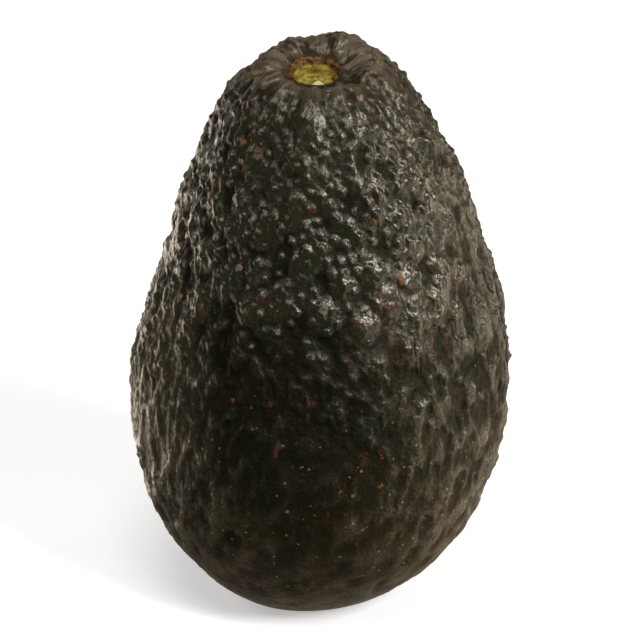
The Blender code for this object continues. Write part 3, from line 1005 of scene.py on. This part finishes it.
def skin_material():
    material, sockets = new_material("skin")
    skin = Shading(material.node_tree, "Object", MM)
    relief = skin.attribute("relief")
    rolled = skin.attribute("rolled", "Vector")
    upright = skin.scaled((1.0, 1.0, 0.4))
    left_middle = skin.zone(*LEFT_MIDDLE_MM)

    russet = skin.ramp(skin.noise(1.7, 5.0, 0.6, upright), 0.585, 0.66)
    russet = skin.times(russet, skin.ramp(skin.noise(11.0, 2.0), 0.47, 0.60))
    ragged = skin.ramp(skin.noise(0.6, 3.0, 0.65), 0.34, 0.66, 0.35, 1.6)
    ragged = skin.times(skin.attribute("marks", "Alpha"), ragged)
    marked = skin.ramp(ragged, 0.40, 0.75)
    cracked = skin.times(skin.ramp(skin.noise(5.0, 2.0), 0.50, 0.56), skin.zone(*CRACKED_MM))
    edges = skin.cells(6.0, "DISTANCE_TO_EDGE", upright)["Distance"]
    crack = skin.times(skin.ramp(edges, 0.045, 0.015), cracked)

    colour = skin_colour(skin, relief, rolled, left_middle)
    colour = skin.mix(russet, colour, RUSSET)
    colour = skin.mix(skin.ramp(ragged, 0.15, 0.45, 0.0, 0.7), colour, MARK_FRINGE)
    colour = skin.mix(marked, colour, skin.attribute("marks", "Color"))
    colour = skin.mix(crack, with_dots(skin, colour), CRACK)
    rough = skin.plus(
        skin.ramp(relief, 0.2, 0.8, 0.58, 0.34),
        skin.along("Z", 88.0, 101.0, 0.0, 0.03),
        skin.times(russet, 0.15),
        skin.times(marked, 0.18),
        skin.times(crack, 0.3),
    )
    skin.feed(sockets["Base Color"], colour)
    skin.feed(sockets["Roughness"], rough)
    skin.feed(sockets["Normal"], skin.bump(skin_height(skin, rolled, crack), 1.0, 0.15))
    sockets["Specular IOR Level"].default_value = MEAN_GLOSS
    skin.feed(sockets["Specular IOR Level"], skin_gloss(skin, relief, left_middle, marked))
    skin.feed(sockets["Specular Tint"], GLOSS_TINT)
    return material


def scar_material():
    """A yellow-green fibrous floor with brown stains, painted shade over its far edge and right half, and a
    pale flap, inside a brown corky wall darkened with painted shade towards its near right side.
    """
    material, sockets = new_material("stem_scar")
    scar = Shading(material.node_tree, "Object", MM)
    fibres = scar.noise(0.8, 4.0)
    floor = scar.mix(scar.ramp(scar.noise(2.2, 2.0), 0.35, 0.65), FLOOR_OLIVE, FLOOR_YELLOW)
    floor = scar.mix(scar.ramp(fibres, 0.55, 0.35, 0.0, 0.7), floor, FLOOR_FIBRE)
    # Brown stains, with painted shade over the floor's far edge and right half
    floor = scar.mix(scar.attribute("stain_and_shade"), floor, STAIN_AND_SHADE)
    floor = scar.mix(scar.attribute("flap"), floor, FLAP)
    cork = scar.mix(scar.ramp(fibres, 0.4, 0.62), CORK_DARK, CORK_LIGHT)
    # Painted shade over the cork on the near right side
    cork = scar.mix(scar.attribute("shaded_side"), cork, CORK_SHADED)
    scar.feed(sockets["Base Color"], scar.mix(scar.ramp(scar.attribute("wall"), 0.15, 0.5), floor, cork))
    scar.feed(sockets["Normal"], scar.bump(fibres, 0.8, 0.25))
    sockets["Roughness"].default_value = 0.6
    sockets["Specular IOR Level"].default_value = 0.15
    return material


def build_floor():
    """A plain pale floor that gives the fruit no light of its own."""
    mesh = bpy.data.meshes.new("floor")
    half = FLOOR_M / 2.0
    corners = [(-half, -half, 0), (half, -half, 0), (half, half, 0), (-half, half, 0)]
    mesh.from_pydata(corners, [], [(0, 1, 2, 3)])
    material, sockets = new_material("floor")
    sockets["Base Color"].default_value = FLOOR_COLOUR
    sockets["Roughness"].default_value = FLOOR_ROUGHNESS
    sockets["Emission Strength"].default_value = FLOOR_GLOW
    mesh.materials.append(material)
    floor = linked(bpy.data.objects.new("floor", mesh))
    floor.visible_glossy = False
    floor.visible_diffuse = False


def face_middle(item, azimuth, elevation, distance):
    """Turns a light or the camera to the fruit's middle, from a way in radians and a distance in metres."""
    level = math.cos(elevation)
    way = Vector((level * math.cos(azimuth), level * math.sin(azimuth), math.sin(elevation)))
    item.location = Vector(CAMERA_AIM_MM) * MM + distance * way
    item.rotation_euler = way.to_track_quat("Z", "Y").to_euler()


def build_softbox(name, azimuth, elevation, distance, size, watts, colour):
    data = bpy.data.lights.new(name, "AREA")
    data.shape = "RECTANGLE"
    data.size, data.size_y = size
    data.energy = watts
    data.color = colour
    light = linked(bpy.data.objects.new(name, data))
    face_middle(light, math.radians(azimuth), math.radians(elevation), distance)


def build_world():
    """The room's light by direction: dim in front, a pale table below, pale walls behind and at the left."""
    world = bpy.data.worlds.new("studio")
    world.use_nodes = True
    room = Shading(world.node_tree, "Generated", 1.0)
    table = room.mix(room.along("X", 0.42, 0.80), TABLE_MIDDLE, TABLE_RIGHT)
    table = room.mix(room.along("X", -0.5, -0.9), table, TABLE_LEFT)
    table = room.mix(room.along("Z", -0.6, -0.92), table, TABLE_UNDER)
    front = room.mix(room.along("Z", 0.05, -0.4), FRONT_WALL, table)
    behind = room.mix(room.along("Z", -0.15, -0.33), BACK_HIGH, BACK_MIDDLE)
    behind = room.mix(room.along("Z", -0.42, -0.58), behind, BACK_LOW)
    behind = room.mix(room.zone(("X", -0.05, -0.30), ("Z", -0.42, -0.54)), behind, BACK_LEFT_LOW)
    right = room.mix(room.along("Z", -0.42, -0.58), BACK_RIGHT, BACK_RIGHT_LOW)
    behind = room.mix(room.zone(("X", 0.05, 0.30), ("Z", -0.06, -0.22)), behind, right)
    light = room.mix(room.along("Y", 0.25, 0.70), front, behind)
    strip = room.times(
        room.zone(("X", -0.15, -0.55), ("Y", 0.0, 0.35)),
        room.zone(("Z", -0.16, -0.25), ("Z", -0.50, -0.41)),
    )
    light = room.mix(strip, light, LEFT_STRIP)
    room.feed(world.node_tree.nodes["Background"].inputs["Color"], light)
    bpy.context.scene.world = world
    bpy.context.scene.view_settings.view_transform = "Standard"


def build_camera():
    data = bpy.data.cameras.new("camera")
    data.lens = CAMERA_LENS
    camera = linked(bpy.data.objects.new("camera", data))
    face_middle(camera, CAMERA_AZIMUTH, CAMERA_ELEVATION, CAMERA_DISTANCE_MM * MM)
    bpy.context.scene.camera = camera


skin, skin_points = build_skin()
scar = build_scar(skin_points)
for piece, slot in ((skin, "skin"), (scar, "stem_scar")):
    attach(piece, "root")
    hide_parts("avocado")
build_floor()
build_world()
for settings in SOFTBOXES:
    build_softbox(*settings)
build_camera()
